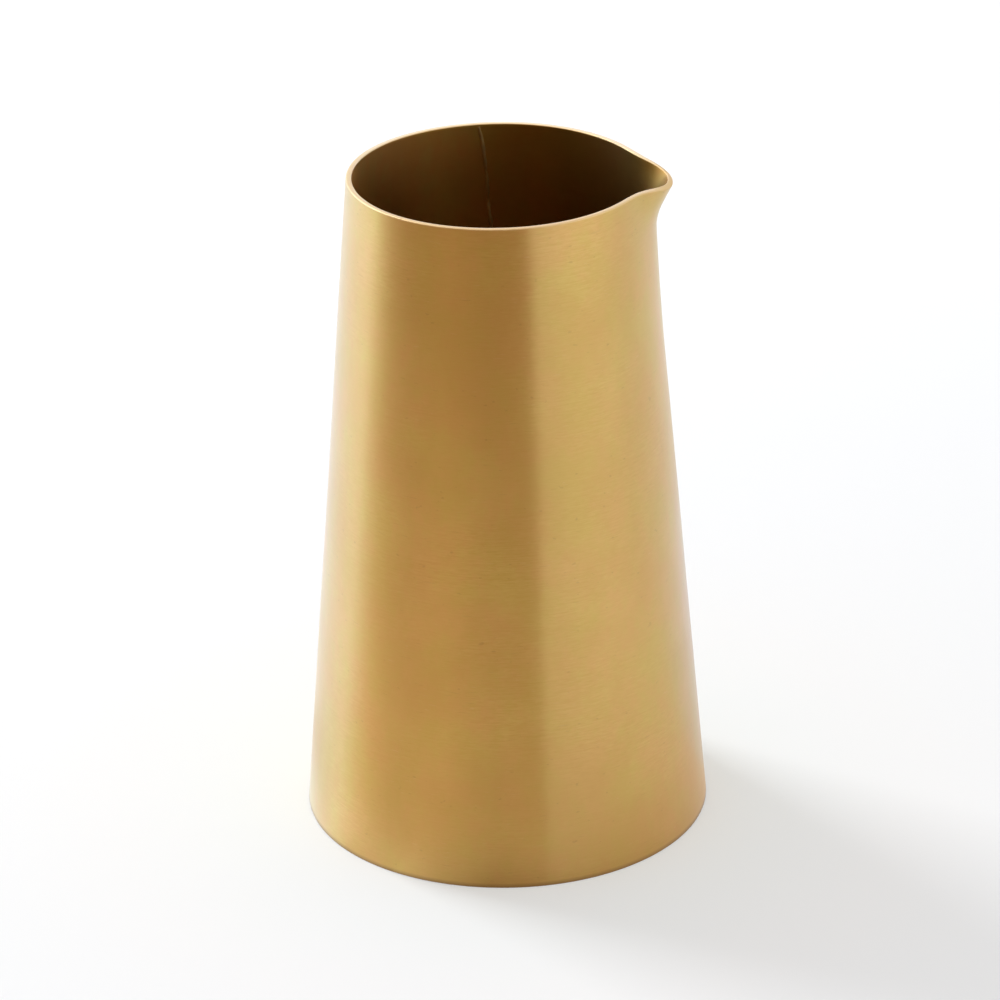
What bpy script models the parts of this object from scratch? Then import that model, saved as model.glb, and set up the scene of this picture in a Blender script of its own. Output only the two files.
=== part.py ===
"""Creamer: a tapered pourer of rolled brass sheet, with a lip drawn out of its rim.

Metres, +Z up. The origin is the centre of the foot, on the surface that the creamer stands on,
and the spout points along +X.
"""

import math

import bmesh
import bpy
import numpy as np

# The tapered wall
BASE_DIAMETER = 0.072
RIM_DIAMETER = 0.0517
HEIGHT = 0.1192
SHEET = 0.001
RIM_EASE = 0.0002
FOOT_EASE = 0.00015

# The spout: a lip flared out of the rim, over a long shallow swell of the wall
LIP_REACH = 0.0040
LIP_DEPTH = 0.0071
LIP_BEND = 0.0027
SWELL_REACH = 0.0010
SWELL_DEPTH = 0.0331
SPOUT_HALF_WIDTH = 0.00517
SPOUT_BLUNTNESS = 2.43
TIP_DIP = 0.0016

# The wall is drawn in a little on both sides of the spout
SHOULDER_PULL = 0.00016
SHOULDER_OFFSET = 0.0204
SHOULDER_WIDTH = 0.0071

# The floor, let into the foot of the wall
FLOOR_SHEET = 0.0012
FLOOR_RECESS = 0.0006
FLOOR_EASE = 0.00015
SEAT_GAP = 0.0003

# The braze along the inside of the wall's seam and round the floor
SEAM_ANGLE = math.radians(97.5)
SEAM_LEAN = math.radians(4.3)
SEAM_WIDTH = 0.0011
SEAM_THICKNESS = 0.0003
SEAM_HOOK = 0.0008
SEAM_HOOK_DEPTH = 0.0018
SEAM_TOP_MARGIN = 0.0004
FILLET_LEG = 0.0016
FILLET_TOE = 0.00012

# Mesh rows and columns
COLUMNS = 112
COLUMN_CROWDING = 0.5
STRAIGHT_ROWS = 3
SWELL_ROWS = 5
LIP_ROWS = 8
FILLET_ROWS = 4
SEAM_ROWS = 26
SEAM_ARC_STEPS = 6

# Step of the finite differences that give the wall's normal
PROBE = 1e-6

# Finishes: colour, roughness
WALL_BRASS = ((0.66, 0.43, 0.15, 1.0), 0.36)
FLOOR_BRASS = ((0.65, 0.42, 0.15, 1.0), 0.38)
BRAZE = ((0.62, 0.45, 0.22, 1.0), 0.45)


def clear_scene():
    for thing in list(bpy.data.objects):
        bpy.data.objects.remove(thing, do_unlink=True)


# Shape of the wall


def cone_radius(level):
    """Outside radius of the plain cone at a height above the foot."""
    taper = (RIM_DIAMETER - BASE_DIAMETER) / 2
    return BASE_DIAMETER / 2 + taper * level / HEIGHT


def cone_slope():
    """Angle between the cone's side and the vertical."""
    return math.atan((BASE_DIAMETER - RIM_DIAMETER) / 2 / HEIGHT)


def lip_rise(level):
    """0 below the lip's bend, 1 at the rim: a straight flare with a rounded root."""

    def ramp(above):
        if above <= -LIP_BEND:
            return 0.0
        if above >= LIP_BEND:
            return above
        return (above + LIP_BEND) ** 2 / (4 * LIP_BEND)

    return ramp(level - (HEIGHT - LIP_DEPTH)) / ramp(LIP_DEPTH)


def swell_rise(level):
    """0 below the swell, 1 at the rim."""
    return max(0.0, 1 - (HEIGHT - level) / SWELL_DEPTH)


def spout_bulge(angle):
    """1 on the spout's centre line, falling off to either side like a blunt bell."""
    arc = abs(math.remainder(angle, math.tau)) * RIM_DIAMETER / 2
    return math.exp(-0.5 * (arc / SPOUT_HALF_WIDTH) ** SPOUT_BLUNTNESS)


def shoulder(angle):
    """1 where the wall is drawn in most, beside the spout."""
    arc = abs(math.remainder(angle, math.tau)) * RIM_DIAMETER / 2
    return math.exp(-0.5 * ((arc - SHOULDER_OFFSET) / SHOULDER_WIDTH) ** 2)


def outside(angle, level):
    """Point on the outside of the wall."""
    lip = LIP_REACH * lip_rise(level)
    swell = SWELL_REACH * swell_rise(level) ** 2
    rise = (lip + swell) / (LIP_REACH + SWELL_REACH)
    push = (lip + swell) * spout_bulge(angle) - SHOULDER_PULL * rise * shoulder(angle)
    radius = cone_radius(level) + push
    return np.array([radius * math.cos(angle), radius * math.sin(angle), level])


def outward(angle, level):
    """Unit normal of the outside of the wall."""
    around = outside(angle + PROBE, level) - outside(angle - PROBE, level)
    upward = outside(angle, level + PROBE) - outside(angle, level - PROBE)
    normal = np.cross(around, upward)
    return normal / np.linalg.norm(normal)


def wall_point(angle, level, depth):
    """Point in the sheet: depth runs from 0 on the outside to SHEET on the inside.

    The sheet keeps its thickness square to the surface. Sampling a little higher for the inside
    makes foot and rim level on the plain cone, and the lip's edge stays square to the lip.
    """
    dip = TIP_DIP * lip_rise(level) ** 2 * spout_bulge(angle)
    sampled = level - dip + depth * math.sin(cone_slope())
    return outside(angle, sampled) - depth * outward(angle, sampled)


def inside_radius(level):
    """Inside radius of the plain cone at a height above the foot."""
    return cone_radius(level) - SHEET / math.cos(cone_slope())


# Meshes


def column_angles():
    """Angles of the mesh columns, closest together at the spout."""
    turns = [math.tau * i / COLUMNS for i in range(COLUMNS)]
    return [turn - COLUMN_CROWDING * math.sin(turn) for turn in turns]


def add_ring(bm, points):
    return [bm.verts.new(tuple(point)) for point in points]


def bridge(bm, lower, upper):
    """Quads between two rings with as many points."""
    count = len(lower)
    for i in range(count):
        j = (i + 1) % count
        bm.faces.new((lower[i], lower[j], upper[j], upper[i]))


def level_circle(radius, height):
    return [
        (radius * math.cos(angle), radius * math.sin(angle), height)
        for angle in column_angles()
    ]


def finish_object(bm, name, finish, sharp_angle=math.radians(35)):
    """Make an object from the mesh, shaded smooth, with its own material."""
    bmesh.ops.recalc_face_normals(bm, faces=bm.faces)
    mesh = bpy.data.meshes.new(name)
    bm.to_mesh(mesh)
    bm.free()
    mesh.shade_smooth()
    mesh.set_sharp_from_angle(angle=sharp_angle)
    colour, roughness = finish
    material = bpy.data.materials.new(name)
    material.use_nodes = True
    shader = material.node_tree.nodes["Principled BSDF"]
    shader.inputs["Base Color"].default_value = colour
    shader.inputs["Metallic"].default_value = 1.0
    shader.inputs["Roughness"].default_value = roughness
    mesh.materials.append(material)
    piece = bpy.data.objects.new(name, mesh)
    bpy.context.collection.objects.link(piece)
    return piece


# The pieces


def wall_levels():
    """Heights of the mesh rows, from the eased foot to the eased rim."""
    swell_foot = HEIGHT - SWELL_DEPTH
    lip_foot = HEIGHT - LIP_DEPTH - 2 * LIP_BEND
    top = HEIGHT - RIM_EASE
    straight = np.linspace(FOOT_EASE, swell_foot, STRAIGHT_ROWS + 1)
    swell = np.linspace(swell_foot, lip_foot, SWELL_ROWS + 1)
    lip = np.linspace(lip_foot, top, LIP_ROWS + 1)
    return [*straight, *swell[1:], *lip[1:]]


def make_wall():
    """The rolled sheet: its cut section, carried round the foot circle column by column."""
    levels = wall_levels()
    section = [(level, 0.0) for level in levels]
    section += [(HEIGHT, RIM_EASE), (HEIGHT, SHEET - RIM_EASE)]
    section += [(level, SHEET) for level in reversed(levels)]
    section += [(0.0, SHEET - FOOT_EASE), (0.0, FOOT_EASE)]
    bm = bmesh.new()
    rings = [
        add_ring(bm, [wall_point(angle, level, depth) for angle in column_angles()])
        for level, depth in section
    ]
    for lower, upper in zip(rings, rings[1:] + rings[:1]):
        bridge(bm, lower, upper)
    return finish_object(bm, "tapered_wall", WALL_BRASS)


def make_floor():
    """The floor disc, its edge turned to the taper of the wall that it is let into."""
    bottom = FLOOR_RECESS
    top = FLOOR_RECESS + FLOOR_SHEET

    def edge(level):
        return inside_radius(level) - SEAT_GAP

    section = [
        (edge(bottom) - FLOOR_EASE, bottom),
        (edge(bottom + FLOOR_EASE), bottom + FLOOR_EASE),
        (edge(top - FLOOR_EASE), top - FLOOR_EASE),
        (edge(top) - FLOOR_EASE, top),
    ]
    bm = bmesh.new()
    rings = [add_ring(bm, level_circle(radius, height)) for radius, height in section]
    for lower, upper in zip(rings, rings[1:]):
        bridge(bm, lower, upper)
    bm.faces.new(rings[0])
    bm.faces.new(rings[-1])
    return finish_object(bm, "base_disc", FLOOR_BRASS)


def fillet_foot():
    """Height of the underside of the braze in the corner between floor and wall."""
    return FLOOR_RECESS + FLOOR_SHEET + SEAT_GAP


def make_fillet():
    """Hollow fillet of braze all round the floor, in the corner under the wall."""
    hollow = FILLET_LEG - FILLET_TOE
    section = [(0.0, 0.0), (FILLET_LEG, 0.0)]
    for i in range(FILLET_ROWS + 1):
        turn = math.pi / 2 * i / FILLET_ROWS
        inset = FILLET_LEG - hollow * math.sin(turn)
        rise = FILLET_LEG - hollow * math.cos(turn)
        section.append((inset, rise))
    section.append((0.0, FILLET_LEG))
    bm = bmesh.new()
    rings = []
    for inset, rise in section:
        height = fillet_foot() + rise
        radius = inside_radius(height) - SEAT_GAP - inset
        rings.append(add_ring(bm, level_circle(radius, height)))
    for lower, upper in zip(rings, rings[1:] + rings[:1]):
        bridge(bm, lower, upper)
    return finish_object(bm, "base_fillet", BRAZE)


def seam_angle(level):
    """Where the seam lies round the wall: it leans a little, and hooks over just under the rim."""
    below = HEIGHT - level
    mean_radius = (inside_radius(level) + inside_radius(HEIGHT)) / 2
    lean = below * math.tan(SEAM_LEAN) / mean_radius
    hook = SEAM_HOOK * math.exp(-below / SEAM_HOOK_DEPTH) / inside_radius(HEIGHT)
    return SEAM_ANGLE - lean + hook


def make_seam():
    """Low bead of braze up the inside of the wall, from the floor's fillet to the rim."""
    low = fillet_foot() + FILLET_LEG + SEAT_GAP
    high = HEIGHT - RIM_EASE - SEAM_TOP_MARGIN
    bm = bmesh.new()
    rings = []
    for i in range(SEAM_ROWS + 1):
        share = i / SEAM_ROWS
        level = low + (high - low) * (1 - (1 - share) ** 2)
        angle = seam_angle(level)
        inward = -outward(angle, level)
        seat = wall_point(angle, level, SHEET) + SEAT_GAP * inward
        climb = wall_point(seam_angle(level + PROBE), level + PROBE, SHEET)
        climb = climb - wall_point(seam_angle(level - PROBE), level - PROBE, SHEET)
        side = np.cross(inward, climb / np.linalg.norm(climb))
        ring = []
        for j in range(SEAM_ARC_STEPS + 1):
            turn = math.pi * j / SEAM_ARC_STEPS
            across = SEAM_WIDTH / 2 * math.cos(turn)
            proud = SEAM_THICKNESS * math.sin(turn)
            ring.append(seat + across * side + proud * inward)
        rings.append(add_ring(bm, ring))
    for lower, upper in zip(rings, rings[1:]):
        bridge(bm, lower, upper)
    bm.faces.new(rings[0])
    bm.faces.new(rings[-1])
    return finish_object(bm, "seam_bead", BRAZE, sharp_angle=math.radians(50))


clear_scene()
creamer = bpy.data.objects.new("creamer", None)
bpy.context.collection.objects.link(creamer)
for made in (make_wall(), make_floor(), make_fillet(), make_seam()):
    made.parent = creamer
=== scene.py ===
"""Satin brass creamer on a pale floor, in soft daylight from behind on its left.

Metres, +Z up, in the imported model's frame: the spout points along +X.
"""

import math

import bmesh
import bpy
import numpy as np
from mathutils import Matrix, Vector


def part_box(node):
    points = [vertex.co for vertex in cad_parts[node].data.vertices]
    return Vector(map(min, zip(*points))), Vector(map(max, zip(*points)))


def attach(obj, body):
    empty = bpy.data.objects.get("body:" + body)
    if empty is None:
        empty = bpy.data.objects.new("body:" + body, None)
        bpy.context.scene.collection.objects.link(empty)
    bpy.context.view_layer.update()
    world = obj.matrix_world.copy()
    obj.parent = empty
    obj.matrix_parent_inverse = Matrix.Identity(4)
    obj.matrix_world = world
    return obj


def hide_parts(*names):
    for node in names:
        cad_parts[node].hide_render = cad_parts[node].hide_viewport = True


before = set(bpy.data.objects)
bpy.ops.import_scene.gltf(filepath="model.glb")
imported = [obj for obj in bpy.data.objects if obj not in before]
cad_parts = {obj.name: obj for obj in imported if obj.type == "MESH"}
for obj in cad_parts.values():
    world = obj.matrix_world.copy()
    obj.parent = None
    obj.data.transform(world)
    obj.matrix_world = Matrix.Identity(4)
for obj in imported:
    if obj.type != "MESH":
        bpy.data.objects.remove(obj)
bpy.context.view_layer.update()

# Sizes read from the frame
WALL_LOW, WALL_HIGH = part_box("tapered_wall")
FLOOR_LOW, FLOOR_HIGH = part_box("base_disc")
FILLET_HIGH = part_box("base_fillet")[1]
HEIGHT = WALL_HIGH.z
FOOT_RADIUS = -WALL_LOW.x
FLOOR_BOTTOM = FLOOR_LOW.z
FLOOR_TOP = FLOOR_HIGH.z
FILLET_RISE = FILLET_HIGH.z - FLOOR_TOP

# The wall, with the sizes of its solid
RIM_RADIUS = 0.02585
SHEET = 0.001
RIM_EASE = 0.0002
FOOT_EASE = 0.00015
LIP_REACH = 0.0040
LIP_DEPTH = 0.0071
LIP_BEND = 0.0027
SWELL_REACH = 0.0010
SWELL_DEPTH = 0.0331
SPOUT_HALF_WIDTH = 0.00517
SPOUT_BLUNTNESS = 2.43
TIP_DIP = 0.0016
SHOULDER_PULL = 0.00016
SHOULDER_OFFSET = 0.0204
SHOULDER_WIDTH = 0.0071

# Hand-rolled sheet is never quite true: waves of (turns, waves over the height, depth, phase)
WALL_WAVES = (
    (2, 0.5, 0.00005, 0.6),
    (3, 1.3, 0.00003, 2.1),
    (5, 2.2, 0.000014, 4.4),
    (7, 3.7, 0.000008, 1.3),
    (11, 5.1, 0.000004, 5.2),
)

# The rim is filed level by hand, which leaves a few low waves round it
RIM_WAVE = 0.00004
RIM_WAVE_TURNS = 3
RIM_WAVE_PHASE = 1.0

# The floor disc: its eased edges, and how far it reaches into the wall to let no light through
FLOOR_EASE = 0.00018
FLOOR_REACH = 0.00003
FLOOR_RINGS = 8

# The braze in the corner, a little less than its solid: its edges wander in waves of
# (turns, share, phase), and it sinks into the floor and the wall
FILLET_SHARE = 0.82
FILLET_WANDER = ((9, 0.12, 0.7), (23, 0.09, 2.0))
FILLET_SINK = 0.00006
FILLET_TOE = 0.00005
FILLET_STEPS = 10

# The seam's braze inside the wall, from part of the way up the fillet
SEAM_ANGLE = math.radians(97.5)
SEAM_LEAN = math.radians(4.3)
SEAM_WIDTH = 0.0007
SEAM_THICKNESS = 0.00014
SEAM_SINK = 0.00008
SEAM_HOOK = 0.0008
SEAM_HOOK_DEPTH = 0.0018
SEAM_TOP_MARGIN = 0.0003
SEAM_START = 0.5
SEAM_ROWS = 260
SEAM_ARC_STEPS = 10

# It swells and drifts in waves of (radians a millimetre, share or metres, phase)
SEAM_SWELLS = ((0.9, 0.14, 0), (2.3, 0.10, 1), (5.1, 0.06, 2))
SEAM_SWELL_LIFT = 1.2
SEAM_DRIFTS = ((0.5, 0.00006, 0), (1.7, 0.00003, 0))
MILLIMETRE = 0.001

# Mesh rows and columns
COLUMNS = 360
COLUMN_CROWDING = 0.5
STRAIGHT_ROWS = 30
SWELL_ROWS = 24
LIP_ROWS = 26
EASE_ROWS = 6
PROBE = 1e-6

# Colours of the metal
BRASS_DEEP = (0.580, 0.350, 0.090, 1.0)
BRASS_PALE = (0.715, 0.496, 0.172, 1.0)
BRASS_ORANGE = (0.690, 0.400, 0.140, 1.0)
BRASS_OLIVE = (0.620, 0.462, 0.117, 1.0)
BRASS_WORN = (0.745, 0.545, 0.315, 1.0)
# The inside's brass, paler with painted light on the far side
BRASS_INSIDE_LIT = (0.925, 0.515, 0.108, 1.0)
# Painted shade inside, on the spout's side
BRASS_INSIDE_SHADE = (0.250, 0.118, 0.010, 1.0)
# Painted shade inside, below a band just under the rim
BRASS_UNDER_RIM_SHADE = (0.780, 0.680, 0.500, 1.0)
# Dark pits and scratches, and the painted shade of the line where the foot meets the floor
BRASS_PIT_AND_SHADE = (0.300, 0.170, 0.060, 1.0)
# Painted shade, darker towards the foot
BRASS_FOOT_SHADE = (0.440, 0.190, 0.020, 1.0)
STAIN_RED = (1.050, 0.840, 0.800, 1.0)
STAIN_GREEN = (0.960, 1.090, 1.050, 1.0)
BRAZE_DEEP = (0.46, 0.30, 0.10, 1.0)
BRAZE_PALE = (0.62, 0.44, 0.18, 1.0)
WHITE = (1.0, 1.0, 1.0, 1.0)

# Noise gathers about 0.5, and hardly strays further from it than this
WIDE_REACH = 0.2

# Noise in the sheet, its scale in features a metre along X, Y and Z
FINE_LINES = {"scale": (110, 110, 7000), "roughness": 0.6}
FLECKS = {"scale": (560, 560, 3600), "detail": 3.0, "roughness": 0.62, "offset": (3, 7, 0)}
CLOUD = {"scale": (60, 60, 42), "detail": 5.0, "roughness": 0.65, "offset": (1, 5, 9)}
MOTTLE = {"scale": (120, 120, 90), "detail": 5.0, "roughness": 0.68, "offset": (8, 2, 4)}
PATCHES = {"scale": (42, 42, 60), "offset": (6, 3, 7)}
PATINA = {"scale": (75, 75, 50), "detail": 4.0, "roughness": 0.6, "offset": (4, 6, 2)}

# Scattered marks on the outside: a higher threshold leaves fewer of them
PITS = {"scale": (800, 800, 1500), "threshold": 0.76, "offset": (5, 1, 3)}
SCRATCHES = {"scale": (330, 330, 4200), "threshold": 0.74, "offset": (2, 9, 6)}
GLINTS = {"scale": (480, 480, 4600), "threshold": 0.75, "offset": (7, 4, 1)}
MARK_SOFTNESS = 0.03
PIT_SHARE = 0.22
SCRATCH_SHARE = 0.14
GLINT_SHARE = 0.22
PIT_DEPTH = 0.6
SCRATCH_DEPTH = 0.3

# The brushed finish: how its lines mix, how far they fade over part of the patches' noise, how
# far hue and clouds show, and how its roughness varies
FINE_SHARE = 0.4
FLECK_SHARE = 0.6
PATCH_RANGE = (0.40, 0.62)
FAINTEST_LINES = 0.35
HUE_SHARE = 0.55
CLOUD_SHARE = 0.42
LINE_ROUGHNESS = 0.03
CLOUD_ROUGHNESS = 0.025
COAT_ROUGHNESS = 0.35
ROUND_THE_BODY = 0.25
RIM_RUB = 0.6

# Painted shade at the foot, a soft darkening and a dark line where it meets the floor: their
# shares there, how high they reach, and how far up and down the soft darkening wanders
FOOT_SHADE = 0.06
FOOT_SHADE_HEIGHT = 0.014
FOOT_SHADE_WANDER = 0.003
CONTACT_SHADE = 1.0
CONTACT_SHADE_HEIGHT = 0.0009

# Inside, painted shade darkens the metal towards the spout's side: where across the cup it starts
# and ends
INSIDE_SHADE_START = -0.026
INSIDE_SHADE_END = 0.012

# A painted highlight keeps the spout's lip pale: where across the cup that starts and ends
TIP_HIGHLIGHT_START = 0.0265
TIP_HIGHLIGHT_END = 0.0306

# Painted shade dims the inside below a band just under the rim, and this fades out between two
# heights
SHADE_LINE_LOW = 0.107
SHADE_LINE_HIGH = 0.119

# How much of the inside's colour comes from its painted light and shade and its patina stains
SHADE_AND_STAIN_SHARE = 0.75

# The turned floor
TURNED_CLOUD = {"scale": (70, 70, 70), "detail": 3.0}
TURNED_LINES = 3200.0
TURNED_CLOUD_SHARE = 0.4
TURNED_ANISOTROPY = 0.6
TURNED_ROUGHNESS = (0.34, 0.44)
TURNED_DEPTH = 0.00001

# The braze
BRAZE_RIPPLE = {"scale": (900, 900, 1400), "detail": 3.0}
BRAZE_CLOUD = {"scale": (260, 260, 260), "offset": (4, 2, 8)}
BRAZE_ROUGHNESS = (0.35, 0.55)
BRAZE_DEPTH = 0.00006

# The ground: its tone from front to back, a painted light that pales it towards the back, and its
# tint far off and near the creamer, where it is painted cooler against the warm light off the brass
GROUND_RADIUS = 4.0
GROUND_SEGMENTS = 96
GROUND_ROUGHNESS = 0.9
GROUND_SPECULAR = 0.1
GROUND_FRONT = 0.04
GROUND_BACK = 0.40
GROUND_LIGHT_TONES = (0.895, 0.945)
GROUND_TINT = (0.982, 0.986, 0.997, 1.0)
GROUND_NEAR_TINT_PAINTED = (0.958, 0.994, 1.014, 1.0)
NEAR_START = 0.035
NEAR_END = 0.080

# Light: the room's, which casts no shadow, and the window's. Azimuths in degrees count the
# camera as -90, so that 0 is on the right of the picture, 90 behind the creamer and 180 left
AMBIENT = 0.29
FILL = 1.79
WINDOW_AZIMUTH = 139.5
WINDOW_ELEVATION = 45
WINDOW_DISTANCE = 1.4
WINDOW_SIZE = 0.42
WINDOW_WATTS = 7.0
WINDOW_COLOUR = (0.96, 0.98, 1.0)
CARD_STEPS = 48

# The camera's place in the photograph: turned from -Y towards the spout, above the horizon
CAMERA_TURN = math.radians(1.5)
CAMERA_ELEVATION = math.radians(24.97)
CAMERA_ROLL = math.radians(-0.985)
CAMERA_DISTANCE = 0.8263
CAMERA_SIDE = -0.000475
CAMERA_RISE = 0.05248
LENS_MM = 163.9
SENSOR_MM = 36.0


# The wall's shape, on numpy arrays of angles and levels


def wrapped(angle):
    """The same angle between minus and plus half a turn."""
    return (angle + np.pi) % (2 * np.pi) - np.pi


def cone_radius(level):
    return FOOT_RADIUS + (RIM_RADIUS - FOOT_RADIUS) * level / HEIGHT


def cone_slope():
    return math.atan((FOOT_RADIUS - RIM_RADIUS) / HEIGHT)


def inside_radius(level):
    return cone_radius(level) - SHEET / math.cos(cone_slope())


def ramp(above):
    """0 below the bend, then a straight climb, with a round start."""
    bent = (above + LIP_BEND) ** 2 / (4 * LIP_BEND)
    return np.where(above <= -LIP_BEND, 0.0, np.where(above >= LIP_BEND, above, bent))


def lip_rise(level):
    """0 below the lip, 1 at the rim."""
    return ramp(level - (HEIGHT - LIP_DEPTH)) / ramp(np.array(LIP_DEPTH))


def swell_rise(level):
    """0 below the swell, 1 at the rim."""
    return np.maximum(0.0, 1 - (HEIGHT - level) / SWELL_DEPTH)


def spout_bulge(angle):
    """1 on the spout's centre line, falling off to either side like a blunt bell."""
    arc = np.abs(wrapped(angle)) * RIM_RADIUS
    return np.exp(-0.5 * (arc / SPOUT_HALF_WIDTH) ** SPOUT_BLUNTNESS)


def shoulder(angle):
    """1 where the wall is drawn in most, beside the spout."""
    arc = np.abs(wrapped(angle)) * RIM_RADIUS
    return np.exp(-0.5 * ((arc - SHOULDER_OFFSET) / SHOULDER_WIDTH) ** 2)


def waves(along, terms):
    """Sum of waves, each (rate, depth, phase)."""
    return sum(depth * np.cos(rate * along + phase) for rate, depth, phase in terms)


def wall_waves(angle, level):
    """How far the sheet stands out of true: nothing at the foot and the rim."""
    total = 0.0
    for turns, climb, depth, phase in WALL_WAVES:
        total = total + depth * np.cos(turns * angle + 2 * math.pi * climb * level / HEIGHT + phase)
    return total * np.sin(np.pi * np.clip(level / HEIGHT, 0, 1)) ** 2


def circle(radius, height, angles):
    """Points round the centre line. Radius and height are numbers, or one for each angle."""
    height = np.broadcast_to(height, angles.shape)
    return np.stack([radius * np.cos(angles), radius * np.sin(angles), height], -1)


def outside(angle, level):
    """Points on the outside of the wall."""
    lip = LIP_REACH * lip_rise(level)
    swell = SWELL_REACH * swell_rise(level) ** 2
    rise = (lip + swell) / (LIP_REACH + SWELL_REACH)
    push = (lip + swell) * spout_bulge(angle) - SHOULDER_PULL * rise * shoulder(angle)
    radius = cone_radius(level) + push + wall_waves(angle, level)
    return np.stack([radius * np.cos(angle), radius * np.sin(angle), level + 0 * angle], -1)


def outward(angle, level):
    """Unit normals of the outside of the wall."""
    around = outside(angle + PROBE, level) - outside(angle - PROBE, level)
    upward = outside(angle, level + PROBE) - outside(angle, level - PROBE)
    normal = np.cross(around, upward)
    return normal / np.linalg.norm(normal, axis=-1, keepdims=True)


def wall_points(angle, level, depth):
    """Points in the sheet: depth runs from 0 on the outside to SHEET on the inside."""
    angle, level, depth = np.broadcast_arrays(angle, level, depth)
    rise = lip_rise(level)
    dip = TIP_DIP * rise**2 * spout_bulge(angle)
    filed = RIM_WAVE * (1 + np.cos(RIM_WAVE_TURNS * angle + RIM_WAVE_PHASE)) / 2 * rise
    sampled = level - dip - filed + depth * math.sin(cone_slope())
    return outside(angle, sampled) - depth[..., None] * outward(angle, sampled)


def seam_angle(level):
    """Where the seam lies round the wall: it leans, and hooks over just under the rim."""
    below = HEIGHT - level
    mean_radius = (inside_radius(level) + inside_radius(HEIGHT)) / 2
    lean = below * math.tan(SEAM_LEAN) / mean_radius
    hook = SEAM_HOOK * np.exp(-below / SEAM_HOOK_DEPTH) / inside_radius(HEIGHT)
    return SEAM_ANGLE - lean + hook


# Mesh helpers


def column_angles():
    """Angles of the mesh columns, closest together at the spout."""
    turns = np.arange(COLUMNS) * 2 * math.pi / COLUMNS
    return turns - COLUMN_CROWDING * np.sin(turns)


def add_ring(bm, points):
    return [bm.verts.new(point) for point in points.tolist()]


def bridge(bm, lower, upper, material_index=0):
    """Quads between two closed rings with as many points."""
    for i in range(len(lower)):
        j = (i + 1) % len(lower)
        face = bm.faces.new((lower[i], lower[j], upper[j], upper[i]))
        face.material_index = material_index


def add_tube(bm, grid):
    """Join rows of points, each a closed ring, into a tube with open ends."""
    rings = [add_ring(bm, row) for row in grid]
    for lower, upper in zip(rings, rings[1:]):
        bridge(bm, lower, upper)
    return rings


def add_hoop(bm, grid, material_indices):
    """Join rows of points, each a closed ring, and the last row to the first."""
    rings = [add_ring(bm, row) for row in grid]
    for lower, upper, index in zip(rings, rings[1:] + rings[:1], material_indices):
        bridge(bm, lower, upper, index)


def close_with_fan(bm, ring, centre):
    """Fill a ring with triangles about its centre point."""
    middle = bm.verts.new(centre)
    for i in range(len(ring)):
        bm.faces.new((ring[i], ring[(i + 1) % len(ring)], middle))


def mesh_from(bm, name):
    mesh = bpy.data.meshes.new(name)
    bm.to_mesh(mesh)
    bm.free()
    return mesh


def new_object(name, data):
    thing = bpy.data.objects.new(name, data)
    bpy.context.scene.collection.objects.link(thing)
    return thing


def finish_piece(bm, name, node, materials, sharp_angle=40):
    """Make a smooth-shaded piece that stands for a CAD node."""
    bmesh.ops.recalc_face_normals(bm, faces=bm.faces)
    mesh = mesh_from(bm, name)
    mesh.shade_smooth()
    mesh.set_sharp_from_angle(angle=math.radians(sharp_angle))
    for material in materials:
        mesh.materials.append(material)
    piece = new_object(name, mesh)
    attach(piece, "root")
    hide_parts(node)
    return piece


# Shader nodes


def connect(tree, socket, value):
    """Link the socket from another, or give it a value."""
    if isinstance(value, bpy.types.NodeSocket):
        tree.links.new(value, socket)
    else:
        socket.default_value = value


def add_node(tree, kind, settings=None, **inputs):
    """Add a shader node. Inputs go by place, as i0 or i1, or by name, with _ for a space."""
    node = tree.nodes.new(kind)
    for name, value in (settings or {}).items():
        setattr(node, name, value)
    for name, value in inputs.items():
        by_place = name[1:].isdigit()
        connect(tree, node.inputs[int(name[1:]) if by_place else name.replace("_", " ")], value)
    return node


def maths(tree, operation, first, second=0.0):
    return add_node(tree, "ShaderNodeMath", {"operation": operation}, i0=first, i1=second).outputs[0]


def remap(tree, value, low, high, to_low, to_high, **settings):
    """Carry a value over from one range to another, clamped unless the settings say otherwise."""
    ranges = {"i1": low, "i2": high, "i3": to_low, "i4": to_high}
    return add_node(tree, "ShaderNodeMapRange", settings, i0=value, **ranges).outputs[0]


def spread(tree, noise, reach, low=0.0, high=1.0):
    """Carry noise from this reach to either side of 0.5 to the range from low to high."""
    return remap(tree, noise, 0.5 - reach, 0.5 + reach, low, high)


def swing_by(tree, noise, amount):
    """Noise as a swing of this amount to either side of 0."""
    return spread(tree, noise, WIDE_REACH, -amount, amount)


def blend_colour(tree, share, first, second, mode="MIX"):
    settings = {"data_type": "RGBA", "blend_type": mode, "clamp_factor": True}
    return add_node(tree, "ShaderNodeMix", settings, i0=share, i6=first, i7=second).outputs[2]


def grey(tree, level):
    return add_node(tree, "ShaderNodeCombineColor", i0=level, i1=level, i2=level).outputs[0]


def own_place(tree):
    """The piece's own X, Y and Z in metres."""
    where = add_node(tree, "ShaderNodeTexCoord").outputs["Object"]
    return tuple(add_node(tree, "ShaderNodeSeparateXYZ", Vector=where).outputs)


def reach_from_middle(tree, x, y):
    """Distance from the creamer's centre line."""
    flat = add_node(tree, "ShaderNodeCombineXYZ", X=x, Y=y).outputs[0]
    return add_node(tree, "ShaderNodeVectorMath", {"operation": "LENGTH"}, i0=flat).outputs["Value"]


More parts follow.
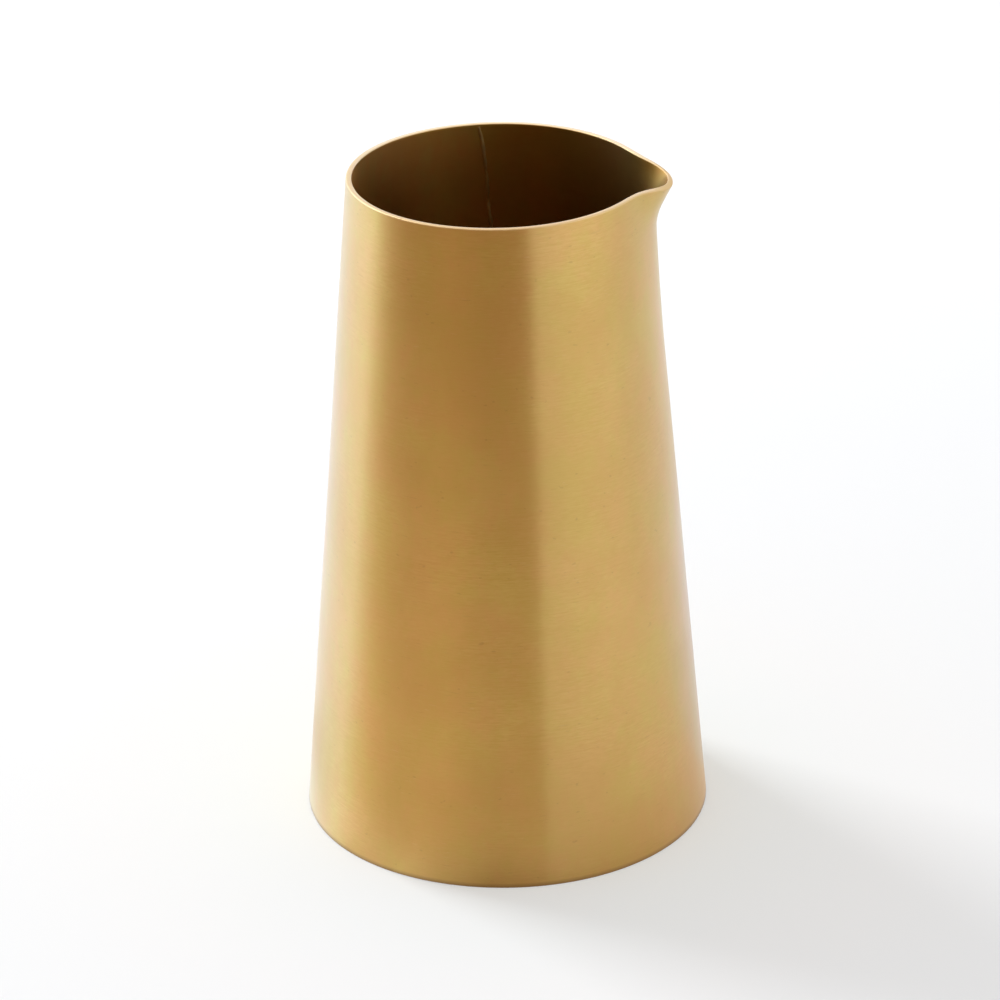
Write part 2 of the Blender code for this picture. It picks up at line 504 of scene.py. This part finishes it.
def stretched_noise(tree, scale, detail=2.0, roughness=0.5, offset=(0, 0, 0)):
    """Noise on the piece's own coordinates in metres, with so many features a metre each way."""
    where = add_node(tree, "ShaderNodeTexCoord").outputs["Object"]
    mapped = add_node(tree, "ShaderNodeMapping", Vector=where, Scale=scale, Location=offset)
    looks = {"Scale": 1.0, "Detail": detail, "Roughness": roughness}
    return add_node(tree, "ShaderNodeTexNoise", Vector=mapped.outputs[0], **looks).outputs[0]


def spots(tree, scale, threshold, offset):
    """1 inside scattered spots, 0 elsewhere."""
    noise = stretched_noise(tree, scale, detail=1.0, offset=offset)
    return remap(tree, noise, threshold - MARK_SOFTNESS, threshold + MARK_SOFTNESS, 0.0, 1.0)


def new_material(name):
    material = bpy.data.materials.new(name)
    material.use_nodes = True
    tree = material.node_tree
    return material, tree, tree.nodes["Principled BSDF"]


def make_metallic(tree, shader, colour, roughness):
    shader.inputs["Metallic"].default_value = 1.0
    tree.links.new(colour, shader.inputs["Base Color"])
    tree.links.new(roughness, shader.inputs["Roughness"])


def stretch_highlights(tree, shader, anisotropy):
    """Draw the highlights out across lines that run round the body."""
    shader.inputs["Anisotropic"].default_value = anisotropy
    shader.inputs["Anisotropic Rotation"].default_value = ROUND_THE_BODY
    tangent = add_node(tree, "ShaderNodeTangent", {"direction_type": "RADIAL", "axis": "Z"})
    tree.links.new(tangent.outputs[0], shader.inputs["Tangent"])


def add_bump(tree, shader, height, depth):
    bump = add_node(tree, "ShaderNodeBump", Height=height, Distance=depth)
    tree.links.new(bump.outputs[0], shader.inputs["Normal"])


# Brushed brass: the bare sheet, and what use, painted shade and painted light do to each side of it


def brush_lines(tree):
    """Fine level lines and flecks."""
    fine = maths(tree, "MULTIPLY", stretched_noise(tree, **FINE_LINES), FINE_SHARE)
    flecks = maths(tree, "MULTIPLY", stretched_noise(tree, **FLECKS), FLECK_SHARE)
    return maths(tree, "ADD", fine, flecks)


def bare_colour(tree, lines, cloud):
    """Brass that pales and deepens with its lines, in some patches more, and in a mottled hue."""
    patches = stretched_noise(tree, **PATCHES)
    strength = remap(tree, patches, *PATCH_RANGE, FAINTEST_LINES, 1.0)
    swing = maths(tree, "SUBTRACT", spread(tree, lines, reach=0.12), 0.5)
    tone = maths(tree, "ADD", maths(tree, "MULTIPLY", swing, strength), 0.5)
    colour = blend_colour(tree, tone, BRASS_DEEP, BRASS_PALE)
    mottle = spread(tree, stretched_noise(tree, **MOTTLE), reach=0.11)
    hue = blend_colour(tree, mottle, BRASS_ORANGE, BRASS_OLIVE)
    colour = blend_colour(tree, HUE_SHARE, colour, hue)
    cloudy = spread(tree, cloud, reach=0.12, high=CLOUD_SHARE)
    return blend_colour(tree, cloudy, colour, BRASS_DEEP)


def marks_and_foot_shade(tree, colour, relief, cloud):
    """The outside has dark pits and scratches, rubbed glints, and painted shade at the foot."""
    pits = spots(tree, **PITS)
    scratches = spots(tree, **SCRATCHES)
    glints = spots(tree, **GLINTS)
    marks = (
        (pits, PIT_SHARE, BRASS_PIT_AND_SHADE),
        (scratches, SCRATCH_SHARE, BRASS_PIT_AND_SHADE),
        (glints, GLINT_SHARE, BRASS_WORN),
    )
    for mark, share, mark_colour in marks:
        colour = blend_colour(tree, maths(tree, "MULTIPLY", mark, share), colour, mark_colour)
    for mark, depth in ((pits, PIT_DEPTH), (scratches, SCRATCH_DEPTH)):
        relief = maths(tree, "SUBTRACT", relief, maths(tree, "MULTIPLY", mark, depth))
    # Painted shade: darker towards the foot, and a dark line where it meets the floor
    height = own_place(tree)[2]
    wandering = maths(tree, "ADD", height, swing_by(tree, cloud, FOOT_SHADE_WANDER))
    low_shade = remap(tree, wandering, 0.0, FOOT_SHADE_HEIGHT, FOOT_SHADE, 0.0)
    colour = blend_colour(tree, low_shade, colour, BRASS_FOOT_SHADE)
    contact_line = remap(tree, height, 0.0, CONTACT_SHADE_HEIGHT, CONTACT_SHADE, 0.0)
    return blend_colour(tree, contact_line, colour, BRASS_PIT_AND_SHADE), relief


def rubbed(tree, colour, relief, _cloud):
    """The rim is rubbed pale."""
    return blend_colour(tree, RIM_RUB, colour, BRASS_WORN), relief


def stained_and_shaded(tree, colour, relief, _cloud):
    """The inside: painted light and shade from side to side, painted shade below the rim's band, a
    painted highlight on the lip, and stains.
    """
    across, _, height = own_place(tree)
    # Painted shade towards the spout, kept off a painted highlight on the lip
    shade_ramp = remap(tree, across, INSIDE_SHADE_START, INSIDE_SHADE_END, 0.0, 1.0)
    off_tip = remap(tree, across, TIP_HIGHLIGHT_START, TIP_HIGHLIGHT_END, 1.0, 0.0)
    inside_shade = maths(tree, "MULTIPLY", shade_ramp, off_tip)
    tint = blend_colour(tree, inside_shade, BRASS_INSIDE_LIT, BRASS_INSIDE_SHADE)
    # Painted shade below a band just under the rim
    under_line = remap(tree, height, SHADE_LINE_LOW, SHADE_LINE_HIGH, 1.0, 0.0)
    dimmed = maths(tree, "MULTIPLY", under_line, off_tip)
    tint = blend_colour(tree, dimmed, tint, BRASS_UNDER_RIM_SHADE, mode="MULTIPLY")
    patina = spread(tree, stretched_noise(tree, **PATINA), reach=0.10)
    stain = blend_colour(tree, patina, STAIN_RED, STAIN_GREEN)
    tint = blend_colour(tree, 1.0, tint, stain, mode="MULTIPLY")
    return blend_colour(tree, SHADE_AND_STAIN_SHARE, colour, tint), relief


def brushed_brass(name, wear_and_shade, roughness, anisotropy, streak_depth, coat):
    """Brass brushed round the body. Wear and painted shade and light turn its bare colour and relief
    into the used ones.
    """
    material, tree, shader = new_material(name)
    lines = brush_lines(tree)
    cloud = stretched_noise(tree, **CLOUD)
    colour, relief = wear_and_shade(tree, bare_colour(tree, lines, cloud), lines, cloud)
    rough = maths(tree, "ADD", swing_by(tree, lines, LINE_ROUGHNESS), roughness)
    rough = maths(tree, "ADD", rough, swing_by(tree, cloud, CLOUD_ROUGHNESS))
    make_metallic(tree, shader, colour, rough)
    stretch_highlights(tree, shader, anisotropy)
    shader.inputs["Coat Weight"].default_value = coat
    shader.inputs["Coat Roughness"].default_value = COAT_ROUGHNESS
    add_bump(tree, shader, relief, streak_depth)
    return material


# The other metals


def turned_brass(name):
    """Brass with the fine rings that a lathe leaves."""
    material, tree, shader = new_material(name)
    x, y, _ = own_place(tree)
    looks = {"W": reach_from_middle(tree, x, y), "Scale": TURNED_LINES, "Detail": 2.0}
    rings = add_node(tree, "ShaderNodeTexNoise", {"noise_dimensions": "1D"}, **looks).outputs[0]
    cloud = stretched_noise(tree, **TURNED_CLOUD)
    colour = blend_colour(tree, spread(tree, rings, reach=0.15), BRASS_DEEP, BRASS_PALE)
    cloudy = spread(tree, cloud, reach=0.15, high=TURNED_CLOUD_SHARE)
    colour = blend_colour(tree, cloudy, colour, BRASS_DEEP)
    make_metallic(tree, shader, colour, spread(tree, cloud, WIDE_REACH, *TURNED_ROUGHNESS))
    stretch_highlights(tree, shader, TURNED_ANISOTROPY)
    add_bump(tree, shader, rings, TURNED_DEPTH)
    return material


def braze(name):
    """Braze that has flowed and frozen: duller than the sheet, with a rippled skin."""
    material, tree, shader = new_material(name)
    ripple = stretched_noise(tree, **BRAZE_RIPPLE)
    cloud = stretched_noise(tree, **BRAZE_CLOUD)
    colour = blend_colour(tree, spread(tree, cloud, reach=0.15), BRAZE_DEEP, BRAZE_PALE)
    make_metallic(tree, shader, colour, spread(tree, ripple, WIDE_REACH, *BRAZE_ROUGHNESS))
    add_bump(tree, shader, ripple, BRAZE_DEPTH)
    return material


# Pieces


def wall_section():
    """(level, depth) round the sheet's cut section, and which material each stretch takes."""
    swell_foot = HEIGHT - SWELL_DEPTH
    lip_foot = HEIGHT - LIP_DEPTH - 2 * LIP_BEND
    straight = np.linspace(FOOT_EASE, swell_foot, STRAIGHT_ROWS + 1)
    swell = np.linspace(swell_foot, lip_foot, SWELL_ROWS + 1)
    lip = np.linspace(lip_foot, HEIGHT - RIM_EASE, LIP_ROWS + 1)
    levels = [*straight, *swell[1:], *lip[1:]]
    turns = [math.pi / 2 * i / EASE_ROWS for i in range(1, EASE_ROWS + 1)]
    corner = [(1 - math.sin(turn), 1 - math.cos(turn)) for turn in turns]
    outer = [(level, 0.0) for level in levels]
    outer_edge = [(HEIGHT - RIM_EASE * down, RIM_EASE * inward) for down, inward in corner]
    inner_edge = [(level, SHEET - depth) for level, depth in reversed(outer_edge)]
    inner = [(level, SHEET) for level in reversed(levels)]
    foot_inner = [(FOOT_EASE * up, SHEET - FOOT_EASE * inward) for up, inward in corner]
    foot_outer = [(level, SHEET - depth) for level, depth in reversed(foot_inner)]
    section = outer + outer_edge + inner_edge + inner + foot_inner + foot_outer
    outside_index, rim_index, inside_index = range(3)
    stretches = [
        (outside_index, len(outer) - 1),
        (rim_index, len(outer_edge) + len(inner_edge)),
        (inside_index, len(inner)),
        (outside_index, len(foot_inner) + len(foot_outer) + 1),
    ]
    return section, [index for index, count in stretches for _ in range(count)]


def make_wall(materials):
    """The rolled sheet with its drawn spout. Materials are those of outside, rim and inside."""
    section, indices = wall_section()
    level = np.array([pair[0] for pair in section])[:, None]
    depth = np.array([pair[1] for pair in section])[:, None]
    bm = bmesh.new()
    add_hoop(bm, wall_points(column_angles()[None, :], level, depth), indices)
    return finish_piece(bm, "tapered_wall_brushed", "tapered_wall", materials)


def make_floor(material):
    """The floor disc, tight against the wall, with eased edges."""
    low, high = FLOOR_BOTTOM + FLOOR_EASE, FLOOR_TOP - FLOOR_EASE
    section = [
        (inside_radius(FLOOR_BOTTOM) - FLOOR_EASE + FLOOR_REACH, FLOOR_BOTTOM),
        (inside_radius(low) + FLOOR_REACH, low),
        (inside_radius(high) + FLOOR_REACH, high),
        (inside_radius(FLOOR_TOP) - FLOOR_EASE + FLOOR_REACH, FLOOR_TOP),
    ]
    angles = column_angles()
    bm = bmesh.new()
    edge = add_tube(bm, [circle(radius, height, angles) for radius, height in section])
    for outermost, height in ((edge[0], FLOOR_BOTTOM), (edge[-1], FLOOR_TOP)):
        ring = outermost
        for radius in np.linspace(section[0][0], 0.0, FLOOR_RINGS + 1)[1:-1]:
            smaller = add_ring(bm, circle(radius, height, angles))
            bridge(bm, ring, smaller)
            ring = smaller
        close_with_fan(bm, ring, (0.0, 0.0, height))
    return finish_piece(bm, "base_disc_turned", "base_disc", [material])


def make_fillet(material):
    """Braze in the corner, its edges wandering a little as it flowed."""
    angles = column_angles()
    leg = FILLET_RISE * FILLET_SHARE * (1 + waves(angles, FILLET_WANDER))
    hollow = leg - FILLET_TOE
    section = [(-FILLET_SINK, -FILLET_SINK), (leg, -FILLET_SINK)]
    for i in range(FILLET_STEPS + 1):
        turn = math.pi / 2 * i / FILLET_STEPS
        section.append((leg - hollow * math.sin(turn), leg - hollow * math.cos(turn)))
    section.append((-FILLET_SINK, leg))
    grid = []
    for inset, rise in section:
        height = FLOOR_TOP + rise
        grid.append(circle(inside_radius(height) - inset, height, angles))
    bm = bmesh.new()
    add_hoop(bm, grid, [0] * len(grid))
    return finish_piece(bm, "base_fillet_flowed", "base_fillet", [material])


def make_seam(material):
    """The low irregular bead up the inside of the wall."""
    low = FLOOR_TOP + FILLET_RISE * SEAM_START
    high = HEIGHT - RIM_EASE - SEAM_TOP_MARGIN
    level = np.linspace(low, high, SEAM_ROWS + 1)
    along = (level - low) / MILLIMETRE
    swell = waves(along, SEAM_SWELLS)
    half_width = SEAM_WIDTH / 2 * (1 + swell)
    thickness = SEAM_THICKNESS * (1 + SEAM_SWELL_LIFT * swell)
    angle = seam_angle(level) + waves(along, SEAM_DRIFTS) / inside_radius(level)
    inward = -outward(angle, level)
    seat = wall_points(angle, level, SHEET) - SEAM_SINK * inward
    climb = np.gradient(seat, axis=0)
    climb = climb / np.linalg.norm(climb, axis=1, keepdims=True)
    side = np.cross(inward, climb)
    turns = np.linspace(0, math.pi, SEAM_ARC_STEPS + 1)
    across = half_width[:, None] * np.cos(turns)
    proud = (thickness[:, None] + SEAM_SINK) * np.sin(turns)
    grid = seat[:, None] + across[..., None] * side[:, None] + proud[..., None] * inward[:, None]
    bm = bmesh.new()
    rings = add_tube(bm, grid)
    bm.faces.new(rings[0])
    bm.faces.new(rings[-1])
    return finish_piece(bm, "seam_bead_flowed", "seam_bead", [material], sharp_angle=60)


# Stage


def camera_azimuth(azimuth):
    """Degrees in the frame, from degrees counted with the camera at -90."""
    return azimuth + math.degrees(CAMERA_TURN)


def direction(azimuth, elevation):
    """Unit vector to an azimuth counted from +X towards +Y, and an elevation, in degrees."""
    a, e = math.radians(azimuth), math.radians(elevation)
    return Vector((math.cos(a) * math.cos(e), math.sin(a) * math.cos(e), math.sin(e)))


def make_ground():
    """A large round pale floor, with painted light that pales it towards the back and a painted cool
    tint near the creamer.
    """
    bm = bmesh.new()
    bmesh.ops.create_circle(bm, cap_ends=True, segments=GROUND_SEGMENTS, radius=GROUND_RADIUS)
    ground = new_object("ground", mesh_from(bm, "ground"))
    material, tree, shader = new_material("pale_floor")
    x, y, _ = own_place(tree)
    smooth = {"interpolation_type": "SMOOTHSTEP"}
    # Painted light: the floor pales towards the back
    tone = remap(tree, y, GROUND_FRONT, GROUND_BACK, *GROUND_LIGHT_TONES, **smooth)
    reach = reach_from_middle(tree, x, y)
    # Painted cool tint near the creamer, against the warm light off the brass
    near = remap(tree, reach, NEAR_START, NEAR_END, 1.0, 0.0, **smooth)
    tint = blend_colour(tree, near, GROUND_TINT, GROUND_NEAR_TINT_PAINTED)
    colour = blend_colour(tree, 1.0, grey(tree, tone), tint, mode="MULTIPLY")
    tree.links.new(colour, shader.inputs["Base Color"])
    shader.inputs["Roughness"].default_value = GROUND_ROUGHNESS
    shader.inputs["Specular IOR Level"].default_value = GROUND_SPECULAR
    ground.data.materials.append(material)
    return ground


def make_world():
    """White to the eye and in reflections, and weaker as light."""
    world = bpy.data.worlds.new("studio")
    bpy.context.scene.world = world
    world.use_nodes = True
    tree = world.node_tree
    path = add_node(tree, "ShaderNodeLightPath")
    seen = maths(tree, "MAXIMUM", path.outputs["Is Camera Ray"], path.outputs["Is Glossy Ray"])
    seen = maths(tree, "MAXIMUM", seen, path.outputs["Is Transmission Ray"])
    background = tree.nodes["Background"]
    background.inputs["Color"].default_value = WHITE
    tree.links.new(remap(tree, seen, 0.0, 1.0, AMBIENT, 1.0), background.inputs["Strength"])
    world.cycles.sampling_method = "NONE"


def make_fill():
    """Even light from the whole room, which casts no shadow and shows in no reflection."""
    light = bpy.data.lights.new("fill", "SUN")
    light.energy = FILL
    light.angle = math.radians(90)
    light.use_shadow = False
    new_object("fill", light).visible_glossy = False


def make_window():
    """A soft square lamp that faces the creamer's middle."""
    light = bpy.data.lights.new("window", "AREA")
    light.shape = "SQUARE"
    light.size = WINDOW_SIZE
    light.energy = WINDOW_WATTS
    light.color = WINDOW_COLOUR
    lamp = new_object("window", light)
    target = Vector((0, 0, HEIGHT / 2))
    towards = direction(camera_azimuth(WINDOW_AZIMUTH), WINDOW_ELEVATION)
    lamp.location = target + towards * WINDOW_DISTANCE
    lamp.rotation_euler = (-towards).to_track_quat("-Z", "Y").to_euler()
    lamp.visible_camera = False


def card_mesh(name, edges, radii, heights):
    """A strip round the creamer. UV runs along it, and across from its inner row to its outer."""
    bm = bmesh.new()
    uv = bm.loops.layers.uv.new("card")
    rows = []
    for (first, last), radius, height in zip(edges, radii, heights):
        row = []
        for i in range(CARD_STEPS + 1):
            azimuth = camera_azimuth(first + (last - first) * i / CARD_STEPS)
            row.append(bm.verts.new(direction(azimuth, 0) * radius + Vector((0, 0, height))))
        rows.append(row)
    for i in range(CARD_STEPS):
        face = bm.faces.new((rows[0][i], rows[0][i + 1], rows[1][i + 1], rows[1][i]))
        corners = ((i, 0), (i + 1, 0), (i + 1, 1), (i, 1))
        for loop, (along, up) in zip(face.loops, corners):
            loop[uv].uv = (along / CARD_STEPS, up)
    return mesh_from(bm, name)


def card_glow(name, inner_colours, outer_colours, strength, rise, soft_edge, stripes):
    """Emission for a painted reflection, which blends along the card and across it, and fades in
    from white at first.
    """
    material, tree, _ = new_material(name)
    tree.nodes.clear()
    where = add_node(tree, "ShaderNodeTexCoord").outputs["UV"]
    along, across, _ = add_node(tree, "ShaderNodeSeparateXYZ", Vector=where).outputs
    inner, outer = [
        blend_colour(tree, along, (*first, 1.0), (*last, 1.0))
        for first, last in (inner_colours, outer_colours)
    ]
    colour = blend_colour(tree, remap(tree, across, *rise, 0.0, 1.0), inner, outer)
    if stripes:
        depth, bright, spacing = stripes
        turn = remap(tree, along, bright, bright + spacing, 0.0, 2 * math.pi, clamp=False)
        swing = maths(tree, "MULTIPLY", maths(tree, "COSINE", turn), depth)
        level = maths(tree, "ADD", swing, 1.0)
        colour = blend_colour(tree, 1.0, colour, grey(tree, level), mode="MULTIPLY")
    if soft_edge:
        colour = blend_colour(tree, remap(tree, along, 0.0, soft_edge, 0.0, 1.0), WHITE, colour)
    glow = add_node(tree, "ShaderNodeEmission", Color=colour, Strength=strength)
    output = add_node(tree, "ShaderNodeOutputMaterial")
    tree.links.new(glow.outputs[0], output.inputs["Surface"])
    return material


def make_card(
    name,
    edges,
    radii,
    heights,
    inner_colours,
    outer_colours,
    outer_edges=None,
    strength=1.0,
    rise=(0.0, 0.5),
    soft_edge=0.0,
    stripes=None,
):
    """A curved glowing card that only reflections see: a painted reflection, not a lamp.

    Edges are the azimuths of its first and last edge. Colours are those at the first edge and at
    the last, on its inner and its outer row. They turn from the inner pair to the outer over the
    rise, a stretch of its width. The first edge is soft over a share of its length. Stripes are a
    depth, the place of a bright one and their spacing, as shares of its length.
    """
    mesh = card_mesh(name, (edges, outer_edges or edges), radii, heights)
    mesh.materials.append(
        card_glow(name, inner_colours, outer_colours, strength, rise, soft_edge, stripes)
    )
    card = new_object(name, mesh)
    card.visible_camera = False
    card.visible_diffuse = False
    card.visible_shadow = False
    card.visible_transmission = False
    return card


def even(colour):
    """The same colour at both edges of a card."""
    return (colour, colour)


def make_cards():
    """Painted reflections: glowing cards for what the metal mirrors besides the white room."""
    # Painted reflection of the window's glow, behind on the left: the bright band down the body's
    # left side
    make_card(
        "painted_window_glow",
        edges=(178, 96),
        radii=(1.2, 1.2),
        heights=(0.0, 1.3),
        inner_colours=even((0.84, 1.07, 1.55)),
        outer_colours=even((0.68, 0.82, 1.12)),
        strength=1.75,
        rise=(0.1, 0.9),
    )
    # Painted reflection of the dark part of the room, in front on the left: the dark band beside the
    # bright one
    make_card(
        "painted_dark_room",
        edges=(-163, -76.3),
        outer_edges=(-187, -64.5),
        radii=(0.050, 0.15),
        heights=(0.0, 0.4),
        inner_colours=((0.88, 0.74, 0.56), (0.64, 0.54, 0.42)),
        outer_colours=((0.515, 0.372, 0.240), (0.440, 0.320, 0.195)),
        rise=(0.06, 0.30),
        soft_edge=0.13,
        stripes=(0.035, 0.52, 0.477),
    )
    # Painted reflection of the lit floor on the left, first close to the foot and then further out
    make_card(
        "painted_lit_foot",
        edges=(215, 130),
        radii=(0.0361, 0.058),
        heights=(0.00004, 0.0010),
        inner_colours=((1.22, 1.30, 1.38), (1.18, 1.36, 1.60)),
        outer_colours=((1.24, 1.32, 1.36), (0.76, 0.72, 0.68)),
        rise=(0.0, 0.8),
        soft_edge=0.15,
    )
    make_card(
        "painted_lit_floor",
        edges=(195, 110),
        radii=(0.058, 0.30),
        heights=(0.0010, 0.0040),
        inner_colours=((1.08, 1.15, 1.28), (1.20, 1.28, 1.42)),
        outer_colours=even((1.12, 1.22, 1.44)),
        soft_edge=0.15,
    )
    # Painted reflection of the floor in the creamer's own shadow, darkest at the foot
    make_card(
        "painted_shaded_floor",
        edges=(-125, 12),
        radii=(0.0361, 0.150),
        heights=(0.00004, 0.0020),
        inner_colours=((0.20, 0.14, 0.10), (0.84, 0.73, 0.66)),
        outer_colours=((0.88, 0.84, 0.78), (0.87, 0.83, 0.81)),
        soft_edge=0.22,
    )
    # Painted reflection of the floor behind on the right, which runs from shade to light
    make_card(
        "painted_rear_floor",
        edges=(12, 75),
        radii=(0.0361, 0.150),
        heights=(0.00004, 0.0020),
        inner_colours=((0.79, 0.76, 0.76), (0.94, 1.04, 1.26)),
        outer_colours=((0.87, 0.92, 1.03), (0.99, 1.10, 1.38)),
    )
    # Painted reflection of the brighter floor beyond the shadow, in front on the right
    make_card(
        "painted_bright_floor",
        edges=(-52, -4),
        radii=(0.16, 0.45),
        heights=(0.0020, 0.0045),
        inner_colours=((0.98, 0.98, 0.98), (0.96, 0.96, 0.96)),
        outer_colours=((1.16, 1.14, 1.12), (1.00, 1.00, 1.00)),
        soft_edge=0.3,
    )
    # Painted reflection of sky close above the back of the rim: a painted highlight on the rim's
    # edge there
    make_card(
        "painted_rim_sky",
        edges=(20, 138),
        radii=(0.030, 0.038),
        heights=(0.1205, 0.132),
        inner_colours=even((1.70, 2.15, 3.30)),
        outer_colours=even((1.70, 2.15, 3.30)),
    )
    # Painted reflection of a bright patch high up, in front on the right
    make_card(
        "painted_high_right",
        edges=(-52, 0),
        radii=(0.10, 0.14),
        heights=(0.13, 0.22),
        inner_colours=even((1.6, 1.6, 1.6)),
        outer_colours=even((1.6, 1.6, 1.6)),
        soft_edge=0.3,
    )


def make_camera():
    data = bpy.data.cameras.new("camera")
    data.sensor_fit = "HORIZONTAL"
    data.sensor_width = SENSOR_MM
    data.lens = LENS_MM
    data.clip_start, data.clip_end = 0.01, 50.0
    camera = new_object("camera", data)
    right = Vector((math.cos(CAMERA_TURN), math.sin(CAMERA_TURN), 0))
    level_back = Vector((math.sin(CAMERA_TURN), -math.cos(CAMERA_TURN), 0))
    back = level_back * math.cos(CAMERA_ELEVATION) + Vector((0, 0, math.sin(CAMERA_ELEVATION)))
    up = back.cross(right)
    place = back * CAMERA_DISTANCE + right * CAMERA_SIDE + up * CAMERA_RISE
    turned_right = right * math.cos(CAMERA_ROLL) + up * math.sin(CAMERA_ROLL)
    turned_up = up * math.cos(CAMERA_ROLL) - right * math.sin(CAMERA_ROLL)
    axes = Matrix((turned_right, turned_up, back)).transposed()
    camera.matrix_world = Matrix.Translation(place) @ axes.to_4x4()
    bpy.context.scene.camera = camera


make_camera()
outer_brass = brushed_brass(
    "brushed_brass", marks_and_foot_shade, roughness=0.37, anisotropy=0.85, streak_depth=0.000010, coat=0.65
)
rim_brass = brushed_brass(
    "rim_brass", rubbed, roughness=0.50, anisotropy=0.0, streak_depth=0.000004, coat=0.1
)
inner_brass = brushed_brass(
    "inner_brass", stained_and_shaded, roughness=0.39, anisotropy=0.5, streak_depth=0.000008, coat=0.0
)
make_wall([outer_brass, rim_brass, inner_brass])
make_floor(turned_brass("turned_brass"))
braze_metal = braze("braze_metal")
make_fillet(braze_metal)
make_seam(braze_metal)

make_ground()
make_world()
make_fill()
make_window()
make_cards()

scene = bpy.context.scene
scene.view_settings.view_transform = "Standard"
